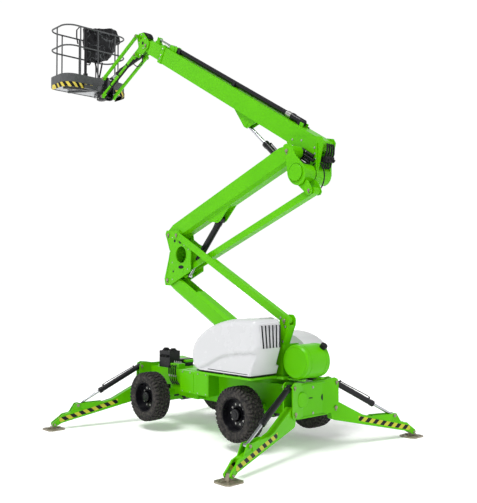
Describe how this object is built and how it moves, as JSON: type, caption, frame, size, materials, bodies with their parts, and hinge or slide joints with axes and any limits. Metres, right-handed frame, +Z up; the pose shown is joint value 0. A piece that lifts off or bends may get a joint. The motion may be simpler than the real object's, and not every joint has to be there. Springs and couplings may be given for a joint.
{
  "type": "articulated boom lift",
  "caption": "Lime green articulated boom lift on outriggers: stacked parallelogram riser, telescopic boom beside it, level jib and oval basket.",
  "frame": {"origin": "on the ground under the middle of the whole machine's outline", "axes": "+X towards the basket end, +Y to the machine's left, +Z up"},
  "size_m": [7.6072, 4.3162, 7.975],
  "materials": {
    "green_paint": "satin",
    "white_cowl": "glossy",
    "black_paint": "satin",
    "grey_paint": "satin",
    "rod_chrome": "polished",
    "zinc_steel": "dull",
    "tyre_rubber": "matte",
    "engine_iron": "matte",
    "cover_vinyl": "semi-matte",
    "deck_aluminium": "brushed"
  },
  "bodies": {
    "chassis": {"chassis_frame": "green_paint", "boom_rest": "black_paint"},
    "steering_knuckle_front_left": {"steering_knuckle_front_left": "black_paint"},
    "wheel_front_left": {"rim_front_left": "black_paint", "tyre_front_left": "tyre_rubber"},
    "steering_knuckle_front_right": {"steering_knuckle_front_right": "black_paint"},
    "wheel_front_right": {"rim_front_right": "black_paint", "tyre_front_right": "tyre_rubber"},
    "steering_knuckle_rear_left": {"steering_knuckle_rear_left": "black_paint"},
    "wheel_rear_left": {"rim_rear_left": "black_paint", "tyre_rear_left": "tyre_rubber"},
    "steering_knuckle_rear_right": {"steering_knuckle_rear_right": "black_paint"},
    "wheel_rear_right": {"rim_rear_right": "black_paint", "tyre_rear_right": "tyre_rubber"},
    "leg_front_left": {"leg_front_left": "green_paint"},
    "foot_front_left": {"foot_front_left": "zinc_steel"},
    "leg_barrel_front_left": {"leg_barrel_front_left": "black_paint"},
    "leg_rod_front_left": {"leg_rod_front_left": "rod_chrome"},
    "leg_front_right": {"leg_front_right": "green_paint"},
    "foot_front_right": {"foot_front_right": "zinc_steel"},
    "leg_barrel_front_right": {"leg_barrel_front_right": "black_paint"},
    "leg_rod_front_right": {"leg_rod_front_right": "rod_chrome"},
    "leg_rear_left": {"leg_rear_left": "green_paint"},
    "foot_rear_left": {"foot_rear_left": "zinc_steel"},
    "leg_barrel_rear_left": {"leg_barrel_rear_left": "black_paint"},
    "leg_rod_rear_left": {"leg_rod_rear_left": "rod_chrome"},
    "leg_rear_right": {"leg_rear_right": "green_paint"},
    "foot_rear_right": {"foot_rear_right": "zinc_steel"},
    "leg_barrel_rear_right": {"leg_barrel_rear_right": "black_paint"},
    "leg_rod_rear_right": {"leg_rod_rear_right": "rod_chrome"},
    "turntable": {"turntable_frame": "green_paint", "cowl_left": "white_cowl", "cowl_right": "white_cowl", "engine_block": "engine_iron", "tank": "green_paint"},
    "lower_boom": {"lower_boom": "green_paint"},
    "lower_tie": {"lower_tie": "green_paint"},
    "mid_knuckle": {"mid_knuckle": "green_paint"},
    "link_boom": {"link_boom": "green_paint"},
    "upper_tie": {"upper_tie": "green_paint"},
    "top_knuckle": {"top_knuckle": "green_paint"},
    "riser_barrel": {"riser_barrel": "black_paint"},
    "riser_rod": {"riser_rod": "rod_chrome"},
    "main_boom": {"main_boom": "green_paint", "extension_cylinder": "black_paint"},
    "inner_boom": {"inner_boom": "green_paint"},
    "jib_head": {"jib_head": "green_paint"},
    "luff_barrel": {"luff_barrel": "black_paint"},
    "luff_rod": {"luff_rod": "rod_chrome"},
    "jib_lower_arms": {"jib_lower_arms": "green_paint"},
    "jib_upper_arms": {"jib_upper_arms": "green_paint"},
    "jib_barrel": {"jib_barrel": "black_paint"},
    "jib_rod": {"jib_rod": "rod_chrome"},
    "platform_bracket": {"platform_bracket": "black_paint"},
    "basket": {"basket_cage": "grey_paint", "basket_floor": "deck_aluminium", "control_console": "cover_vinyl"}
  },
  "joints": [
    {"name": "steer_front_left", "type": "hinge", "parent": "chassis", "child": "steering_knuckle_front_left", "pos_m": [-0.28938, 0.585, 0.563], "axis": [0, 0, 1], "range_deg": [-22, 22]},
    {"name": "steer_front_right", "type": "hinge", "parent": "chassis", "child": "steering_knuckle_front_right", "pos_m": [-0.28938, -0.585, 0.563], "axis": [0, 0, 1], "range_deg": [-22.5, 22.5]},
    {"name": "steer_rear_left", "type": "hinge", "parent": "chassis", "child": "steering_knuckle_rear_left", "pos_m": [-2.54338, 0.585, 0.563], "axis": [0, 0, 1], "range_deg": [-22.5, 22.5]},
    {"name": "steer_rear_right", "type": "hinge", "parent": "chassis", "child": "steering_knuckle_rear_right", "pos_m": [-2.54338, -0.585, 0.563], "axis": [0, 0, 1], "range_deg": [-22.5, 22.5]},
    {"name": "wheel_spin_front_left", "type": "hinge", "parent": "steering_knuckle_front_left", "child": "wheel_front_left", "pos_m": [-0.28938, 0.795, 0.563], "axis": [0, 1, 0], "continuous": true},
    {"name": "wheel_spin_front_right", "type": "hinge", "parent": "steering_knuckle_front_right", "child": "wheel_front_right", "pos_m": [-0.28938, -0.795, 0.563], "axis": [0, 1, 0], "continuous": true},
    {"name": "wheel_spin_rear_left", "type": "hinge", "parent": "steering_knuckle_rear_left", "child": "wheel_rear_left", "pos_m": [-2.54338, 0.795, 0.563], "axis": [0, 1, 0], "continuous": true},
    {"name": "wheel_spin_rear_right", "type": "hinge", "parent": "steering_knuckle_rear_right", "child": "wheel_rear_right", "pos_m": [-2.54338, -0.795, 0.563], "axis": [0, 1, 0], "continuous": true},
    {"name": "leg_front_left", "type": "hinge", "parent": "chassis", "child": "leg_front_left", "pos_m": [0.43362, 0.47, 0.62], "axis": [0.9703, -0.2419, 0], "range_deg": [-3, 60]},
    {"name": "foot_front_left", "type": "hinge", "parent": "leg_front_left", "child": "foot_front_left", "pos_m": [0.81585, 2.00307, 0.09], "axis": [0.9703, -0.2419, 0], "range_deg": [-15, 15]},
    {"name": "leg_ram_front_left", "type": "hinge", "parent": "chassis", "child": "leg_barrel_front_left", "pos_m": [0.43846, 0.48941, 1], "axis": [0.9703, -0.2419, 0], "range_deg": [-4, 61]},
    {"name": "leg_rod_front_left", "type": "slide", "parent": "leg_barrel_front_left", "child": "leg_rod_front_left", "axis": [0.2137, 0.8573, -0.4684], "range_m": [-0.4, 0.03]},
    {"name": "leg_front_right", "type": "hinge", "parent": "chassis", "child": "leg_front_right", "pos_m": [0.43362, -0.47, 0.62], "axis": [-0.9703, -0.2419, 0], "range_deg": [-3, 60]},
    {"name": "foot_front_right", "type": "hinge", "parent": "leg_front_right", "child": "foot_front_right", "pos_m": [0.81585, -2.00307, 0.09], "axis": [-0.9703, -0.2419, 0], "range_deg": [-15, 15]},
    {"name": "leg_ram_front_right", "type": "hinge", "parent": "chassis", "child": "leg_barrel_front_right", "pos_m": [0.43846, -0.48941, 1], "axis": [-0.9703, -0.2419, 0], "range_deg": [-4, 61]},
    {"name": "leg_rod_front_right", "type": "slide", "parent": "leg_barrel_front_right", "child": "leg_rod_front_right", "axis": [0.2137, -0.8573, -0.4684], "range_m": [-0.4, 0.03]},
    {"name": "leg_rear_left", "type": "hinge", "parent": "chassis", "child": "leg_rear_left", "pos_m": [-3.26638, 0.47, 0.62], "axis": [0.9703, 0.2419, 0], "range_deg": [-3, 60]},
    {"name": "foot_rear_left", "type": "hinge", "parent": "leg_rear_left", "child": "foot_rear_left", "pos_m": [-3.64862, 2.00307, 0.09], "axis": [0.9703, 0.2419, 0], "range_deg": [-15, 15]},
    {"name": "leg_ram_rear_left", "type": "hinge", "parent": "chassis", "child": "leg_barrel_rear_left", "pos_m": [-3.27122, 0.48941, 1], "axis": [0.9703, 0.2419, 0], "range_deg": [-4, 61]},
    {"name": "leg_rod_rear_left", "type": "slide", "parent": "leg_barrel_rear_left", "child": "leg_rod_rear_left", "axis": [-0.2137, 0.8573, -0.4684], "range_m": [-0.4, 0.03]},
    {"name": "leg_rear_right", "type": "hinge", "parent": "chassis", "child": "leg_rear_right", "pos_m": [-3.26638, -0.47, 0.62], "axis": [-0.9703, 0.2419, 0], "range_deg": [-3, 60]},
    {"name": "foot_rear_right", "type": "hinge", "parent": "leg_rear_right", "child": "foot_rear_right", "pos_m": [-3.64862, -2.00307, 0.09], "axis": [-0.9703, 0.2419, 0], "range_deg": [-15, 15]},
    {"name": "leg_ram_rear_right", "type": "hinge", "parent": "chassis", "child": "leg_barrel_rear_right", "pos_m": [-3.27122, -0.48941, 1], "axis": [-0.9703, 0.2419, 0], "range_deg": [-4, 61]},
    {"name": "leg_rod_rear_right", "type": "slide", "parent": "leg_barrel_rear_right", "child": "leg_rod_rear_right", "axis": [-0.2137, -0.8573, -0.4684], "range_m": [-0.4, 0.03]},
    {"name": "slew", "type": "hinge", "parent": "chassis", "child": "turntable", "pos_m": [-2.36638, 0, 1.09], "axis": [0, 0, 1], "continuous": true},
    {"name": "riser", "type": "hinge", "parent": "turntable", "child": "lower_boom", "pos_m": [-2.77138, 0.16, 1.16], "axis": [0, -1, 0], "range_deg": [-18, 40]},
    {"name": "lower_tie_foot", "type": "hinge", "parent": "turntable", "child": "lower_tie", "pos_m": [-3.05138, 0.16, 1.95], "axis": [0, -1, 0], "range_deg": [-18.5, 40.5]},
    {"name": "knuckle_level", "type": "hinge", "parent": "lower_boom", "child": "mid_knuckle", "pos_m": [-0.13638, 0.16, 2.55], "axis": [0, -1, 0], "range_deg": [-40.5, 18.5]},
    {"name": "link_foot", "type": "hinge", "parent": "mid_knuckle", "child": "link_boom", "pos_m": [-0.15638, 0.16, 3.35], "axis": [0, -1, 0], "range_deg": [-33, 15]},
    {"name": "upper_tie_foot", "type": "hinge", "parent": "mid_knuckle", "child": "upper_tie", "pos_m": [-0.57638, 0.16, 2.72], "axis": [0, -1, 0], "range_deg": [-33, 15]},
    {"name": "top_level", "type": "hinge", "parent": "link_boom", "child": "top_knuckle", "pos_m": [-3.05638, 0.16, 4.49], "axis": [0, -1, 0], "range_deg": [-15, 33]},
    {"name": "riser_ram", "type": "hinge", "parent": "link_boom", "child": "riser_barrel", "pos_m": [-1.40638, 0.16, 3.56], "axis": [0, -1, 0], "range_deg": [-4.5, 9]},
    {"name": "riser_rod", "type": "slide", "parent": "riser_barrel", "child": "riser_rod", "axis": [0.6663, 0, -0.7457], "range_m": [-0.2, 0.43]},
    {"name": "luff", "type": "hinge", "parent": "top_knuckle", "child": "main_boom", "pos_m": [-3.34638, -0.17, 4.6], "axis": [0, -1, 0], "range_deg": [-30.65, 42]},
    {"name": "luff_ram", "type": "hinge", "parent": "top_knuckle", "child": "luff_barrel", "pos_m": [-2.99638, -0.17, 4.01], "axis": [0, -1, 0], "range_deg": [-27.93, 38.09]},
    {"name": "luff_rod", "type": "slide", "parent": "luff_barrel", "child": "luff_rod", "axis": [0.7466, 0, 0.6653], "range_m": [-0.36, 0.5]},
    {"name": "telescope", "type": "slide", "parent": "main_boom", "child": "inner_boom", "axis": [0.8603, 0, 0.5098], "range_m": [0, 3.6]},
    {"name": "head_level", "type": "hinge", "parent": "inner_boom", "child": "jib_head", "pos_m": [1.12362, -0.17, 7.16], "axis": [0, -1, 0], "range_deg": [-44.5, 31.15]},
    {"name": "jib", "type": "hinge", "parent": "jib_head", "child": "jib_lower_arms", "pos_m": [1.39362, -0.17, 7.02], "axis": [0, -1, 0], "range_deg": [-45, 80]},
    {"name": "jib_top", "type": "hinge", "parent": "jib_head", "child": "jib_upper_arms", "pos_m": [1.36362, -0.17, 7.39], "axis": [0, -1, 0], "range_deg": [-45.5, 80.5]},
    {"name": "platform_level", "type": "hinge", "parent": "jib_lower_arms", "child": "platform_bracket", "pos_m": [2.58362, -0.17, 6.41], "axis": [0, -1, 0], "range_deg": [-80.5, 45.5]},
    {"name": "jib_ram", "type": "hinge", "parent": "jib_head", "child": "jib_barrel", "pos_m": [1.39362, -0.17, 7.02], "axis": [0, -1, 0], "range_deg": [-48, 84]},
    {"name": "jib_rod", "type": "slide", "parent": "jib_barrel", "child": "jib_rod", "axis": [0.9793, 0, -0.2026], "range_m": [-0.26, 0.45]},
    {"name": "basket_turn", "type": "hinge", "parent": "platform_bracket", "child": "basket", "pos_m": [2.86362, -0.17, 6.565], "axis": [0, 0, 1], "range_deg": [-60, 60]}
  ],
  "couplings": [
    {"joint": "steer_front_right", "follows": "steer_front_left", "ratio": 1},
    {"joint": "steer_rear_left", "follows": "steer_front_left", "ratio": -1},
    {"joint": "steer_rear_right", "follows": "steer_front_left", "ratio": -1},
    {"joint": "leg_ram_front_left", "follows": "leg_front_left", "ratio": 1},
    {"joint": "leg_rod_front_left", "follows": "leg_front_left", "m_per_rad": -0.37},
    {"joint": "leg_ram_front_right", "follows": "leg_front_right", "ratio": 1},
    {"joint": "leg_rod_front_right", "follows": "leg_front_right", "m_per_rad": -0.37},
    {"joint": "leg_ram_rear_left", "follows": "leg_rear_left", "ratio": 1},
    {"joint": "leg_rod_rear_left", "follows": "leg_rear_left", "m_per_rad": -0.37},
    {"joint": "leg_ram_rear_right", "follows": "leg_rear_right", "ratio": 1},
    {"joint": "leg_rod_rear_right", "follows": "leg_rear_right", "m_per_rad": -0.37},
    {"joint": "lower_tie_foot", "follows": "riser", "ratio": 1},
    {"joint": "knuckle_level", "follows": "riser", "ratio": -1},
    {"joint": "link_foot", "follows": "riser", "ratio": -0.8},
    {"joint": "upper_tie_foot", "follows": "riser", "ratio": -0.8},
    {"joint": "top_level", "follows": "riser", "ratio": 0.8},
    {"joint": "riser_ram", "follows": "riser", "ratio": 0.21},
    {"joint": "riser_rod", "follows": "riser", "m_per_rad": 0.605},
    {"joint": "luff_ram", "follows": "luff", "ratio": 0.895},
    {"joint": "luff_rod", "follows": "luff", "m_per_rad": 0.64},
    {"joint": "head_level", "follows": "luff", "ratio": -1},
    {"joint": "jib_top", "follows": "jib", "ratio": 1},
    {"joint": "platform_level", "follows": "jib", "ratio": -1},
    {"joint": "jib_ram", "follows": "jib", "ratio": 1.03},
    {"joint": "jib_rod", "follows": "jib", "m_per_rad": 0.31}
  ]
}
